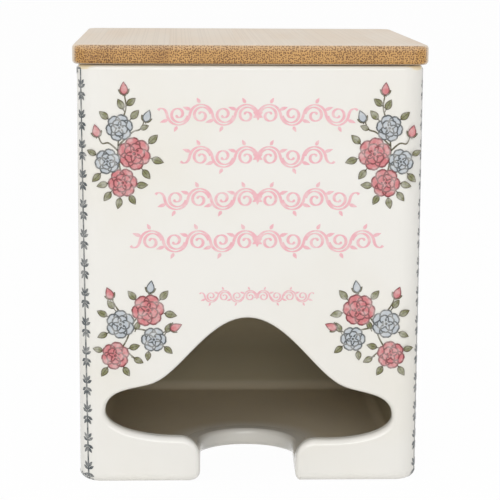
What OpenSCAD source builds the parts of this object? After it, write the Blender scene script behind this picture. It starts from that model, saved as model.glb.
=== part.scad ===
// Countertop tea bag organizer: a one-piece glazed ceramic box with a bell-shaped front opening and
// a finger notch, under a lift-off bamboo lid that is glued up from strips.
// The origin is the centre of the foot. +X is to the right, the front faces -Y and +Z is up.
// All lengths are in millimetres and all angles in degrees.

/* [Body] */
// Outside width of the ceramic body
body_w = 90; // [84:1:120]
// Outside depth of the ceramic body
body_d = 90; // [84:1:120]
// Height of the ceramic body from its foot to its rim
body_h = 110.6; // [90:0.1:150]
// Thickness of the walls
wall_t = 4.5; // [3.6:0.1:6]
// Thickness of the floor
floor_t = 5; // [4.2:0.1:7]
// Radius of the upright outside corners
corner_r = 6; // [4:0.5:10]
// Radius of the upright inside corners
cavity_corner_r = 4; // [3.4:0.2:8]
// Fillet where the walls meet the floor inside
floor_fillet = 3; // [1:0.2:3.2]
// Rounding of the rim's outside edge
rim_round = 1; // [0.6:0.1:2.3]
// Rounding of the rim's inside edge
rim_inner_round = 1.2; // [0.4:0.1:1.3]
// Rounding of the bottom edge, round the body and along the notch
base_round = 2.5; // [2:0.1:3]

/* [Foot] */
// Width of the band that the box stands on, from the outside face inwards
foot_band = 8; // [5:0.5:12]
// Depth of the recess inside that band
foot_recess = 0.8; // [0.4:0.1:1.4]

/* [Front opening] */
// Width of the front wall left standing at each end of the low slot
slot_land = 6.95; // [6.2:0.05:10]
// Height of the slot's rounded ends
slot_end_z = 18.4; // [16:0.1:22]
// Height of the sill that holds the tea bags back
sill_z = 11.8; // [10:0.1:13]
// Distance from the centre line at which the flat sill starts to rise
sill_flat_x = 19.8; // [18.6:0.1:24]
// Distance of the shoulders from the centre line, where the slot turns up into the bell
shoulder_x = 25; // [22:0.1:28]
// Height of the shoulders
shoulder_z = 26.5; // [24:0.1:29]
// Steepness of the edge at the shoulders, as rise over run
shoulder_slope = 0.44; // [0.2:0.02:0.8]
// Height of the bell's crown
bell_top_z = 44.6; // [38:0.2:60]
// Breadth of the bell's crown, as the length of its curve's handle
crown_pull = 10.2; // [6:0.2:13]
// Reach of the bell's flank above the shoulder, as a handle's length
flank_pull = 7.5; // [4:0.1:10]
// Reach of the slot's upper edge past the shoulder, as a handle's length
slot_top_pull = 4.6; // [2:0.1:7]
// Fullness of the slot's ends above their middle, as a handle's length
slot_end_up = 6.6; // [3:0.1:7]
// Fullness of the slot's ends below their middle, as a handle's length
slot_end_down = 4.5; // [2:0.1:5.5]
// Length of the sill's gentle rise, as a handle's length
sill_pull = 8.4; // [4:0.1:12]
// Slant of the whole opening, which falls to the right
opening_slant = 1.3; // [-2:0.1:2]
// Shift of the opening's middle to the right, which fades out towards the slot's ends
middle_shift = -0.4; // [-1:0.1:1]
// Rounding of the sill's and the slot's edges, on the outside and on the inside face
lip_round = 1.6; // [0.8:0.1:1.7]
// Rounding of the opening's edges above the shoulders
upper_lip_round = 0.8; // [0.4:0.1:1.7]

/* [Finger notch] */
// Width of the finger notch through the sill and the floor
notch_w = 25.4; // [20:0.2:26]
// Reach of the notch into the floor, from the front face
notch_d = 36; // [24:0.5:50]
// Turn of the notch in the floor, clockwise seen from above
notch_turn = 1; // [-3:0.5:3]
// Radius of the corners where the sill turns down into the notch
notch_corner_r = 5.5; // [3:0.5:5.5]
// Rounding of the floor's upper edge along the notch
floor_lip_round = 1.4; // [0.6:0.1:1.6]

/* [Lid] */
// Distance by which the lid stands out past the body on each side
lid_overhang = 1; // [0.5:0.1:4]
// Thickness of the lid board
lid_t = 5.1; // [3.5:0.1:12]
// Gap between the lid board and the rim, which the seal ring's grip leaves
lid_gap = 0.3; // [0.1:0.05:0.6]
// Radius of the lid's corners in plan
lid_corner_r = 4; // [2:0.5:10]
// Rounding of the lid board's edges
lid_ease = 1; // [0.3:0.1:1.5]
// Width of the bamboo strips that both boards are glued up from; the outermost ones are trimmed
strip_w = 18.3; // [14:0.1:20]
// Number of strips in the lid board, side by side from left to right
lid_strips = 6; // [2:1:6]
// Place of the lid board's middle glue seam, to the right of the centre line
seam_x = -2.7; // [-2.7:0.1:2.7]

/* [Locating board and seal] */
// Thickness of the board under the lid that drops inside the rim
plug_t = 6; // [5:0.1:10]
// Number of strips in that board, from front to back
plug_strips = 5; // [2:1:5]
// Gap between that board and the body's walls
plug_gap = 1.25; // [0.8:0.05:1.8]
// Rounding of the locating board's lower edge
plug_ease = 0.6; // [0.2:0.1:1]
// Height of the seal ring
seal_h = 2; // [1:0.1:2.4]
// Depth of the groove that holds the seal ring
seal_groove = 1.2; // [0.6:0.1:1.6]
// Gap left between the seal ring and the body's walls
seal_gap = 0.3; // [0.2:0.05:0.5]

/* [Hidden] */
// Steps in a quarter turn, for corners in plan, for edge roundings and for the notch's end
corner_steps = 8;
edge_steps = 4;
notch_steps = 10;
// Steps along each of the opening's curves
curve_steps = 8;
// Length by which a cut runs past the face that it goes through
cut_past = 3;
// Height by which a flare's widest outline clears that face, so that the two don't coincide
skim = 0.02;

// Faces that several pieces share
front_y = -body_d / 2;
inner_front_y = front_y + wall_t;
mid_wall_y = front_y + wall_t / 2;
cavity_w = body_w - 2 * wall_t;
cavity_d = body_d - 2 * wall_t;

// The opening's half widths, and where its notch crosses the front wall at the floor
slot_end_x = body_w / 2 - slot_land;
notch_half = notch_w / 2;
notch_front_x = middle_shift * (1 - notch_half / slot_end_x);

// The lid and the locating board, which follow the body
lid_w = body_w + 2 * lid_overhang;
lid_d = body_d + 2 * lid_overhang;
plug_w = cavity_w - 2 * plug_gap;
plug_d = cavity_d - 2 * plug_gap;
plug_corner_r = cavity_corner_r - plug_gap;
lid_z = body_h + lid_gap;
seal_z = lid_z - plug_t / 2 - seal_h / 2;
lid_cuts = strip_edges(lid_w, lid_strips, seam_x);
plug_cuts = strip_edges(plug_d, plug_strips, 0);

// Places of a board's edges and of its glue seams, which lie one strip apart about the middle
function strip_edges(board, strips, middle) = concat(
    [-board / 2], [for (k = [1 : strips - 1]) middle + (k - strips / 2) * strip_w], [board / 2]
);

// Outline of a rectangle with round corners, anticlockwise, centred on the origin
function rounded_rect(w, d, r) = [
    for (quarter = [0 : 3], i = [0 : corner_steps])
        let (
            a = 90 * quarter + 90 * i / corner_steps,
            side_x = (quarter == 0 || quarter == 3) ? 1 : -1,
            side_y = quarter < 2 ? 1 : -1
        )
        [side_x * (w / 2 - r) + r * cos(a), side_y * (d / 2 - r) + r * sin(a)]
];

// The same outline moved outwards by grow, lying at height z
function rect_ring(w, d, r, grow, z) = [
    for (p = rounded_rect(w + 2 * grow, d + 2 * grow, r + grow)) [p.x, p.y, z]
];

// A quarter round of radius r as [run, rise] pairs, from [r, 0] to [0, r]
function quarter_round(r) = [
    for (i = [0 : edge_steps])
        let (a = 90 * i / edge_steps)
        [r * (1 - sin(a)), r * (1 - cos(a))]
];

function reversed(list) = [for (i = [len(list) - 1 : -1 : 0]) list[i]];

// Cubic curve from a to d with handles at b and c, without its last point
function curve(a, b, c, d) = [
    for (i = [0 : curve_steps - 1])
        let (t = i / curve_steps, s = 1 - t)
        s * s * s * a + 3 * s * s * t * b + 3 * s * t * t * c + t * t * t * d
];

// Arc about a centre, from one angle to another, without its last point
function arc(centre, r, from, to, steps) = [
    for (i = [0 : steps - 1])
        let (a = from + (to - from) * i / steps)
        centre + r * [cos(a), sin(a)]
];

// An anticlockwise closed outline moved outwards by grow, each point square to its neighbours
function grown(outline, grow) = [
    for (i = [0 : len(outline) - 1])
        let (
            n = len(outline),
            along = outline[(i + 1) % n] - outline[(i + n - 1) % n]
        )
        outline[i] + grow * [along.y, -along.x] / norm(along)
];

// Right half of the front opening in x and z, from under the foot up to the crown
opening_right = concat(
    [[notch_half + base_round, -cut_past]],
    arc([notch_half + base_round, base_round], base_round, 270, 180, edge_steps),
    [[notch_half, base_round]],
    arc(
        [notch_half + notch_corner_r, sill_z - notch_corner_r], notch_corner_r, 180, 90, edge_steps + 2
    ),
    [[notch_half + notch_corner_r, sill_z]],
    curve(
        [sill_flat_x, sill_z], [sill_flat_x + sill_pull, sill_z],
        [slot_end_x, slot_end_z - slot_end_down], [slot_end_x, slot_end_z]
    ),
    curve(
        [slot_end_x, slot_end_z], [slot_end_x, slot_end_z + slot_end_up],
        [shoulder_x + slot_top_pull, shoulder_z - shoulder_slope * slot_top_pull],
        [shoulder_x, shoulder_z]
    ),
    curve(
        [shoulder_x, shoulder_z],
        [shoulder_x - flank_pull, shoulder_z + shoulder_slope * flank_pull],
        [crown_pull, bell_top_z], [0, bell_top_z]
    )
);

// The whole opening, anticlockwise seen from the front, slanted and with its middle shifted
opening_outline = [
    for (p = concat(
        opening_right, [[0, bell_top_z]], [for (q = reversed(opening_right)) [-q.x, q.y]]
    ))
        [
            p.x + middle_shift * (1 - abs(p.x) / slot_end_x),
            p.y - p.x * tan(opening_slant)
        ]
];

// The notch in the floor in x and y: a slot with a round end, turned about its middle at the front
notch_outline = [
    for (p = concat(
        [[-notch_half, -cut_past], [notch_half, -cut_past]],
        arc([0, notch_d - notch_half], notch_half, 0, 180, 2 * notch_steps),
        [[-notch_half, notch_d - notch_half]]
    ))
        [
            notch_front_x + p.x * cos(notch_turn) + p.y * sin(notch_turn),
            front_y + p.y * cos(notch_turn) - p.x * sin(notch_turn)
        ]
];

// Solid through a stack of closed outlines that all have the same number of points
module ring_stack(rings) {
    n = len(rings[0]);
    top = (len(rings) - 1) * n;
    polyhedron(
        points = [for (ring = rings) each ring],
        faces = concat(
            [[for (i = [0 : n - 1]) i]],
            [[for (i = [n - 1 : -1 : 0]) top + i]],
            [
                for (r = [0 : len(rings) - 2], i = [0 : n - 1])
                    let (a = r * n, b = a + n, j = (i + 1) % n)
                    [a + i, b + i, b + j, a + j]
            ]
        )
    );
}

// A box with round corners in plan and rounded edges at its foot and its top
module rounded_box(w, d, h, r, foot_round, top_round) {
    ring_stack(concat(
        [for (q = quarter_round(foot_round)) rect_ring(w, d, r, -q[0], q[1])],
        [for (q = reversed(quarter_round(top_round))) rect_ring(w, d, r, -q[0], h - q[1])]
    ));
}

// The hollow that holds the tea bags, flared at the rim's inside edge
module cavity() {
    ring_stack(concat(
        [
            for (q = quarter_round(floor_fillet))
                rect_ring(cavity_w, cavity_d, cavity_corner_r, -q[0], floor_t + q[1])
        ],
        [
            for (q = quarter_round(rim_inner_round))
                rect_ring(cavity_w, cavity_d, cavity_corner_r, q[1], body_h + skim - q[0])
        ],
        [rect_ring(cavity_w, cavity_d, cavity_corner_r, rim_inner_round, body_h + cut_past)]
    ));
}

// Share of a climb from one height to another that z has done, from 0 to 1
function climbed(z, from, to) = max(0, min(1, (z - from) / (to - from)));

// The opening's outline one step further out, whose moves opening_ring scales
opening_outwards = grown(opening_outline, 1);

// One ring of the flare: the outline moved outwards by out roundings, and lying by in roundings from the
// face at y. The rounding shrinks from the slot's ends up to the shoulders. Below the sill the move
// fades out down to the floor, by the share fade, because the notch runs on there into the floor
function opening_ring(out, fade, y, in) = [
    for (i = [0 : len(opening_outline) - 1])
        let (
            p = opening_outline[i],
            radius = lip_round
                + (upper_lip_round - lip_round) * climbed(p.y, slot_end_z, shoulder_z),
            share = out * radius * (1 - fade * (1 - climbed(p.y, floor_t, sill_z)))
        )
        [
            p.x + share * (opening_outwards[i].x - p.x),
            y + in * radius,
            p.y + share * (opening_outwards[i].y - p.y)
        ]
];

// The opening through the front wall, flared at its inside and its outside face
module opening_cut() {
    ring_stack(concat(
        [opening_ring(1, 1, inner_front_y + cut_past, 0)],
        [for (q = reversed(quarter_round(1))) opening_ring(q[1], 1, inner_front_y + skim, -q[0])],
        [for (q = quarter_round(1)) opening_ring(q[1], 0, front_y - skim, q[0])],
        [opening_ring(1, 0, front_y - cut_past, 0)]
    ));
}

// The notch's outline moved outwards, as an upright solid from one height to another
module notch_prism(grow, from, to) {
    translate([0, 0, from])
        linear_extrude(to - from)
            polygon(grown(notch_outline, grow));
}

// The notch through the floor, rounded along its lower edge and, behind the front wall, along its
// upper edge. Each step of a rounding is the hull of a wide low prism and a narrower taller one
module floor_notch_cut() {
    below = concat(quarter_round(base_round), [[0, floor_t + cut_past / 2]]);
    above = concat(quarter_round(floor_lip_round), [[0, floor_t / 2]]);
    intersection() {
        for (i = [0 : len(below) - 2])
            hull() {
                notch_prism(below[i][0], -cut_past, below[i][1] - skim);
                notch_prism(below[i + 1][0], -cut_past, below[i + 1][1] - skim);
            }
        translate([-body_w / 2, mid_wall_y, -body_h / 2])
            cube([body_w, body_d, body_h]);
    }
    intersection() {
        for (i = [0 : len(above) - 2])
            hull() {
                notch_prism(above[i][0], floor_t + skim - above[i][1], floor_t + cut_past);
                notch_prism(above[i + 1][0], floor_t + skim - above[i + 1][1], floor_t + cut_past);
            }
        translate([-body_w / 2, inner_front_y, 0])
            cube([body_w, body_d, body_h]);
    }
}

// The shallow recess under the floor, which leaves a foot band round the base and round the notch
module foot_recess_cut() {
    translate([0, 0, -cut_past])
        linear_extrude(cut_past + foot_recess)
            difference() {
                polygon(rounded_rect(body_w - 2 * foot_band, body_d - 2 * foot_band, cavity_corner_r));
                polygon(grown(notch_outline, foot_band));
            }
}

module ceramic_body() {
    color("ivory")
        difference() {
            rounded_box(body_w, body_d, body_h, corner_r, base_round, rim_round);
            cavity();
            opening_cut();
            floor_notch_cut();
            foot_recess_cut();
        }
}

// One strip of the lid board, counted from the left
module lid_strip(i) {
    color(i % 2 == 0 ? "burlywood" : "tan")
        intersection() {
            translate([0, 0, lid_z])
                rounded_box(lid_w, lid_d, lid_t, lid_corner_r, lid_ease, lid_ease);
            translate([lid_cuts[i - 1], -lid_d / 2, lid_z])
                cube([lid_cuts[i] - lid_cuts[i - 1], lid_d, lid_t]);
        }
}

// The locating board, with the groove for the seal ring round its edge
module plug_board() {
    difference() {
        ring_stack(concat(
            [
                for (q = quarter_round(plug_ease))
                    rect_ring(plug_w, plug_d, plug_corner_r, -q[0], lid_z - plug_t + q[1])
            ],
            [rect_ring(plug_w, plug_d, plug_corner_r, 0, lid_z)]
        ));
        seal_profile(cut_past);
    }
}

// A ring round the locating board, from the bottom of its groove to proud past its edge
module seal_profile(proud) {
    translate([0, 0, seal_z])
        linear_extrude(seal_h)
            difference() {
                polygon(rounded_rect(plug_w + 2 * proud, plug_d + 2 * proud, plug_corner_r + proud));
                polygon(rounded_rect(
                    plug_w - 2 * seal_groove, plug_d - 2 * seal_groove, plug_corner_r - seal_groove
                ));
            }
}

// One strip of the locating board, counted from the front
module plug_strip(i) {
    color(i % 2 == 0 ? "tan" : "burlywood")
        intersection() {
            plug_board();
            translate([-plug_w / 2, plug_cuts[i - 1], lid_z - plug_t])
                cube([plug_w, plug_cuts[i] - plug_cuts[i - 1], plug_t]);
        }
}

module seal_ring() {
    color("whitesmoke")
        seal_profile(plug_gap - seal_gap);
}

ceramic_body();
for (i = [1 : lid_strips])
    lid_strip(i);
for (i = [1 : plug_strips])
    plug_strip(i);
seal_ring();
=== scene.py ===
"""Finish of a countertop tea bag organizer: the glazed box, its painted decor, the bamboo lid and the stage.

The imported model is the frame: +X is to the right, the front faces -Y, +Z is up, the foot's centre is the
origin and Blender's unit is the metre. Painted decor is drawn in millimetres and scaled when it is laid on.
"""
import math

import bmesh
import bpy
from bpy.props import FloatProperty, FloatVectorProperty, IntProperty, PointerProperty
from mathutils import Euler, Matrix, Vector


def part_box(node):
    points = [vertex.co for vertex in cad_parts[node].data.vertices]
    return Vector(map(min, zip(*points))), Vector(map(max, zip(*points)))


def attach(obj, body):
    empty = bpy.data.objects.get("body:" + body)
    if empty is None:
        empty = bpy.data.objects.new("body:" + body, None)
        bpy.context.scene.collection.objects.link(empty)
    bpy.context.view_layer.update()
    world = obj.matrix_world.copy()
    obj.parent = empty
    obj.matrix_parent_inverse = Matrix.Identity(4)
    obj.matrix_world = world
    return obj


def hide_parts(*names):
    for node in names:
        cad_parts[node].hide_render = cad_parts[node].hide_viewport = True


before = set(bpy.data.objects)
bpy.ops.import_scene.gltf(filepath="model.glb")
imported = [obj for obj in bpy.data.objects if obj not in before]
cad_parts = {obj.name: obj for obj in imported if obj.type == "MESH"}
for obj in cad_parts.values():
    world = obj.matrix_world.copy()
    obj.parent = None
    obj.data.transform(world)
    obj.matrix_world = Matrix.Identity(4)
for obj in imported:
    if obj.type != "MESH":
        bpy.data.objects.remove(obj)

bl_info = {
    "name": "Tea Bag Organizer",
    "version": (1, 0, 0),
    "blender": (4, 5, 0),
    "location": "View3D > Sidebar > Organizer",
    "description": "Builds the glazed box, its painted decor and its bamboo lid round the packed model",
    "category": "Add Mesh",
}

MM = 0.001
BODY_LOW, BODY_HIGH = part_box("ceramic_body")
LID_LOW, LID_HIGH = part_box("lid_strip_1")
LID_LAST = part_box("lid_strip_6")[1]
LID_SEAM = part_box("lid_strip_3")[1].x
STRIP_WIDTH = LID_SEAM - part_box("lid_strip_3")[0].x
PLUG_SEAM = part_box("plug_strip_2")[1].y
LID_STRIPS, PLUG_STRIPS = 6, 5
# How far a cutter reaches past what it cuts, how far off the cut face its flare ends, the distance below
# which two points are one, and the one at which a point lies on a cut
CUT_PAST, SKIM, MERGE, TOUCH = 3 * MM, 0.02 * MM, 0.004 * MM, 1e-7
# Share of Z in its normal from which a face counts as level
LEVEL_FACE = 0.9
# Angles in degrees from which an edge of the ceramic and of the bamboo stays sharp
CERAMIC_SHARP, BAMBOO_SHARP = 50, 35
# Height of a coat of paint above the one below and thickness of the paint, in the drawings' millimetres
COAT, PAINT_BODY = 0.012, 0.02
# Widths of the outlines of leaves, of buds and of petals, in the drawings' millimetres
LEAF_LINE, BUD_LINE, PETAL_LINE = 0.27, 0.28, 0.42


# ---- sizes and colours


def length(name, description, millimetres):
    """A size that is shown in the sidebar as a length."""
    return FloatProperty(
        name=name, description=description, default=millimetres * MM, precision=5, unit="LENGTH"
    )


def angle(name, description, degrees):
    """An angle."""
    return FloatProperty(
        name=name, description=description, default=math.radians(degrees), precision=4, subtype="ANGLE"
    )


def tint(name, description, colour):
    """A colour, in linear light."""
    return FloatVectorProperty(
        name=name, description=description, default=colour, subtype="COLOR", size=3, min=0, max=1
    )


def share(name, description, default):
    """A share from 0 to 1."""
    return FloatProperty(
        name=name, description=description, default=default, min=0, max=1, subtype="FACTOR"
    )


class BodySizes(bpy.types.PropertyGroup):
    """Sizes of the glazed ceramic body"""

    wall: length("Wall", "Thickness of the walls", 4.5)
    floor: length("Floor", "Thickness of the floor", 5)
    corner: length("Corner", "Radius of the upright outside corners", 6)
    hollow_corner: length("Hollow corner", "Radius of the upright inside corners", 4)
    floor_fillet: length("Floor fillet", "Fillet where the walls meet the floor inside", 3)
    rim_outside: length("Rim outside", "Rounding of the rim's outside edge", 1)
    rim_inside: length("Rim inside", "Rounding of the rim's inside edge", 1.2)
    base: length("Base", "Rounding of the bottom edge, round the body and along the notch", 2.5)
    foot_band: length("Foot band", "Width of the band that the box stands on", 8)
    foot_recess: length("Foot recess", "Depth of the recess inside the foot band", 0.8)
    slot_land: length("Slot land", "Front wall left standing at each end of the slot", 6.95)
    slot_end: length("Slot end", "Height of the slot's rounded ends", 18.4)
    sill: length("Sill", "Height of the sill that holds the tea bags back", 11.8)
    sill_flat: length("Flat sill", "Distance from the middle at which the sill starts to rise", 19.8)
    sill_pull: length("Sill pull", "Length of the sill's gentle rise, as a curve's handle", 8.4)
    slot_end_down: length("Lower slot end", "Fullness of the slot's ends below their middle", 4.5)
    slot_end_up: length("Upper slot end", "Fullness of the slot's ends above their middle", 6.6)
    slot_top_pull: length("Slot top pull", "Reach of the slot's upper edge past the shoulder", 4.6)
    shoulder_x: length("Shoulder place", "Distance of the shoulders from the middle", 25)
    shoulder_z: length("Shoulder height", "Height where the slot turns up into the bell", 26.5)
    shoulder_slope: share("Shoulder slope", "Steepness of the edge there, as rise over run", 0.44)
    flank_pull: length("Flank pull", "Reach of the bell's flank above the shoulder", 7.5)
    crown_pull: length("Crown pull", "Breadth of the bell's crown, as a curve's handle", 10.2)
    crown: length("Crown", "Height of the bell's crown", 44.6)
    slant: angle("Slant", "Fall of the opening to the right", 1.3)
    shift: length("Middle shift", "Shift of the opening's middle, which fades out to its ends", -0.4)
    lip: length("Lip", "Rounding of the sill's and the slot's edges", 1.6)
    upper_lip: length("Upper lip", "Rounding of the opening's edges above the shoulders", 0.8)
    notch: length("Notch", "Width of the finger notch", 25.4)
    notch_depth: length("Notch depth", "Reach of the notch into the floor, from the front face", 36)
    notch_turn: angle("Notch turn", "Turn of the notch in the floor", 1)
    notch_corner: length("Notch corner", "Radius where the sill turns down into the notch", 5.5)
    floor_lip: length("Floor lip", "Rounding of the floor's upper edge along the notch", 1.4)
    curve_steps: IntProperty(name="Curve steps", description="Steps along each curve", default=18)
    edge_steps: IntProperty(name="Edge steps", description="Steps in a quarter turn", default=8)


class GlazeFinish(bpy.types.PropertyGroup):
    """Colours and gloss of the ceramic"""

    cream: tint("Cream", "Colour of the glaze", (0.815, 0.80, 0.76))
    thin: tint("Thin glaze", "Colour of the glaze where it lies thin", (0.79, 0.765, 0.70))
    # The hollow: a warm taupe, with painted shade that darkens its walls low down and painted light that
    # makes its floor lighter than those walls
    inside: tint("Inside", "Colour of the hollow's warm taupe glaze", (0.80, 0.70, 0.50))
    low_wall_shade: tint("Low wall shade", "Colour of that glaze low on the walls", (0.375, 0.325, 0.215))
    hollow_floor_light: tint("Hollow floor light", "Colour of that glaze on the floor", (0.68, 0.60, 0.46))
    bisque: tint("Bisque", "Colour of the bare foot", (0.72, 0.66, 0.56))
    gloss: share("Gloss", "Roughness of the glaze", 0.13)


class DecorSizes(bpy.types.PropertyGroup):
    """Sizes and colours of the painted decor"""

    relief: length("Relief", "Height of the paint above the glaze", 0.03)
    stem_inset: length("Border inset", "Distance of the leafy border from the rim and the foot", 0.9)
    stem_width: length("Border stem", "Width of the leafy border's stem", 0.5)
    whorl_pitch: length("Whorl pitch", "Distance from one pair of leaf whorls to the next", 7.785)
    first_whorl: length("First whorl", "Height of the lowest pair of leaf whorls", 2.98)
    slate: tint("Slate", "Colour of the leafy border", (0.075, 0.088, 0.095))
    pink: tint("Pink", "Colour of the pink petals", (0.61, 0.185, 0.20))
    rose: tint("Rose", "Colour of the pink petals' outlines", (0.22, 0.055, 0.06))
    ice: tint("Ice", "Colour of the pale blue petals", (0.475, 0.515, 0.56))
    steel: tint("Steel", "Colour of the pale blue petals' outlines", (0.095, 0.105, 0.11))
    leaf: tint("Leaf", "Colour of the leaves", (0.20, 0.205, 0.088))
    stem: tint("Stem", "Colour of the stems and of the leaves' outlines", (0.10, 0.085, 0.04))
    scroll: tint("Scroll", "Colour of the scroll ornament", (0.81, 0.43, 0.48))


class LidSizes(bpy.types.PropertyGroup):
    """Sizes and colours of the bamboo lid"""

    corner: length("Lid corner", "Radius of the lid's corners in plan", 4)
    ease: length("Eased edge", "Rounding of the lid board's edges", 1)
    seam: length("Glue line", "Width of the chamfer along a glue seam", 0.05)
    face: tint("Face", "Colour of the board's top", (0.82, 0.705, 0.575))
    end: tint("End grain", "Colour of the board's ends", (0.52, 0.285, 0.088))
    bundle: tint("Bundles", "Colour of the dark fibre bundles", (0.115, 0.04, 0.006))
    seal: tint("Seal", "Colour of the silicone ring", (0.74, 0.74, 0.71))


class StageSettings(bpy.types.PropertyGroup):
    """Camera, floor and light"""

    lens: FloatProperty(
        name="Lens", description="Focal length on a 36 mm sensor", default=133.49, subtype="DISTANCE_CAMERA"
    )
    yaw: angle("Yaw", "Camera's turn to the right", 2.319)
    pitch: angle("Pitch", "Camera's look downwards", 9.431)
    roll: angle("Roll", "Camera's roll", 0.333)
    eye: FloatVectorProperty(
        name="Eye", description="Place of the camera", default=(-0.01937, -0.52169, 0.14193),
        precision=5, subtype="TRANSLATION"
    )
    floor_size: length("Floor size", "Width of the floor", 16000)
    sky: share("Sky", "Strength of the even light from all round", 0.38)
    whiteness: share("Whiteness", "Share of plain white in the floor, as the camera sees it", 0.975)


# ---- modelling helpers


def linked(name, data):
    """A new object in the scene."""
    thing = bpy.data.objects.new(name, data)
    bpy.context.scene.collection.objects.link(thing)
    return thing


def finished(bm, name, body, material):
    """Make a piece of a bmesh, riding on a body and finished with a material."""
    mesh = bpy.data.meshes.new(name)
    bm.to_mesh(mesh)
    bm.free()
    mesh.materials.append(material)
    piece = linked(name, mesh)
    if body:
        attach(piece, body)
    return piece


def soften(piece, sharp):
    """Shade a piece smooth up to an angle in degrees, with its flat faces kept flat."""
    piece.data.shade_smooth()
    piece.data.set_sharp_from_angle(angle=math.radians(sharp))
    normals = piece.modifiers.new("flat_faces", "WEIGHTED_NORMAL")
    normals.keep_sharp = True
    normals.weight = 60


def carve(piece, cutter):
    """Cut one piece with another and delete the cutter."""
    cut = piece.modifiers.new("cut", "BOOLEAN")
    cut.operation = "DIFFERENCE"
    cut.solver = "EXACT"
    cut.object = cutter
    bpy.context.view_layer.update()
    graph = bpy.context.evaluated_depsgraph_get()
    carved = bpy.data.meshes.new_from_object(piece.evaluated_get(graph))
    piece.modifiers.remove(cut)
    carved.name = piece.name
    piece.data = carved
    bpy.data.objects.remove(cutter)


def loft(rings):
    """A closed solid through a stack of rings: each one is extruded from the one before."""
    bm = bmesh.new()
    ring = [bm.verts.new(place) for place in rings[0]]
    bm.faces.new(ring)
    for places in rings[1:]:
        older = set(bm.verts)
        edges = [bm.edges.get(pair) for pair in zip(ring, ring[1:] + ring[:1])]
        bmesh.ops.extrude_edge_only(bm, edges=edges)
        ring = [
            next(e.other_vert(v) for e in v.link_edges if e.other_vert(v) not in older) for v in ring
        ]
        for v, place in zip(ring, places):
            v.co = place
    bm.faces.new(ring)
    bmesh.ops.recalc_face_normals(bm, faces=bm.faces)
    return bm


def towards(degrees, reach=1.0):
    """Vector of some length in a direction."""
    a = math.radians(degrees)
    return reach * Vector((math.cos(a), math.sin(a)))


def rounded_rect(w, d, r, steps):
    """Outline of a rectangle with round corners, anticlockwise, centred on the origin."""
    outline = []
    for quarter, (x, y) in enumerate(((1, 1), (-1, 1), (-1, -1), (1, -1))):
        centre = (x * (w / 2 - r), y * (d / 2 - r))
        outline += arc(centre, r, 90 * quarter, 90 * quarter + 90, steps)
    return outline


def level(outline, z):
    """An outline laid flat at a height."""
    return [(p.x, p.y, z) for p in outline]


def bevel(bm, edges, offset, segments):
    """Round edges off."""
    bmesh.ops.bevel(
        bm, geom=edges, offset=offset, offset_type="OFFSET", segments=segments, profile=0.5,
        affect="EDGES", material=-1
    )


def quarter_round(r, steps):
    """A quarter round as (run, rise) pairs, from (r, 0) to (0, r)."""
    turns = [math.pi / 2 * i / steps for i in range(steps + 1)]
    return [(r * (1 - math.sin(a)), r * (1 - math.cos(a))) for a in turns]


def curve(a, b, c, d, steps):
    """Cubic curve from a to d with handles at b and c, without its last point."""
    a, b, c, d = (Vector(p) for p in (a, b, c, d))
    places = []
    for i in range(steps):
        t = i / steps
        s = 1 - t
        places.append(s**3 * a + 3 * s * s * t * b + 3 * s * t * t * c + t**3 * d)
    return places


def arc(centre, r, start, end, steps):
    """Arc about a centre, between two angles in degrees."""
    turn = (end - start) / steps
    return [Vector(centre) + towards(start + turn * i, r) for i in range(steps + 1)]


def disc(centre, r, steps):
    """Outline of a round spot."""
    return arc(centre, r, 0, 360, steps)[:-1]


def grown(outline, grow):
    """An anticlockwise closed outline moved outwards, each point square to its neighbours."""
    moved = []
    for i, p in enumerate(outline):
        along = (outline[(i + 1) % len(outline)] - outline[i - 1]).normalized()
        moved.append(p - grow * along.orthogonal())
    return moved


# ---- the glazed body


def opening_right(s):
    """Right half of the front opening in x and z, from under the foot up to the crown."""
    half = s.notch / 2
    slot_end_x = BODY_HIGH.x - s.slot_land
    steps = s.curve_steps
    lower_end = (slot_end_x, s.slot_end - s.slot_end_down)
    upper_end = (slot_end_x, s.slot_end + s.slot_end_up)
    slot_end = (slot_end_x, s.slot_end)
    shoulder = (s.shoulder_x, s.shoulder_z)
    before = (s.shoulder_x + s.slot_top_pull, s.shoulder_z - s.shoulder_slope * s.slot_top_pull)
    after = (s.shoulder_x - s.flank_pull, s.shoulder_z + s.shoulder_slope * s.flank_pull)
    return (
        [Vector((half + s.base, -CUT_PAST))]
        + arc((half + s.base, s.base), s.base, 270, 180, s.edge_steps)
        + arc((half + s.notch_corner, s.sill - s.notch_corner), s.notch_corner, 180, 90, s.edge_steps + 2)
        + curve((s.sill_flat, s.sill), (s.sill_flat + s.sill_pull, s.sill), lower_end, slot_end, steps)
        + curve(slot_end, upper_end, before, shoulder, steps)
        + curve(shoulder, after, (s.crown_pull, s.crown), (0, s.crown), steps)
    )


def opening_outline(s):
    """The whole opening, anticlockwise seen from the front, slanted and with its middle shifted."""
    right = opening_right(s)
    whole = right + [Vector((0, s.crown))] + [Vector((-p.x, p.y)) for p in reversed(right)]
    slope, end = math.tan(s.slant), BODY_HIGH.x - s.slot_land
    return [Vector((p.x + s.shift * (1 - abs(p.x) / end), p.y - p.x * slope)) for p in whole]


def notch_outline(s):
    """The notch in the floor in x and y: a slot with a round end, turned about its middle at the front."""
    half = s.notch / 2
    outline = (
        [Vector((-half, -CUT_PAST)), Vector((half, -CUT_PAST))]
        + arc((0, s.notch_depth - half), half, 0, 180, 4 * s.edge_steps)
    )
    start = Vector((s.shift * (1 - half / (BODY_HIGH.x - s.slot_land)), BODY_LOW.y))
    turn = Matrix.Rotation(-s.notch_turn, 2)
    return [turn @ p + start for p in outline]


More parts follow.
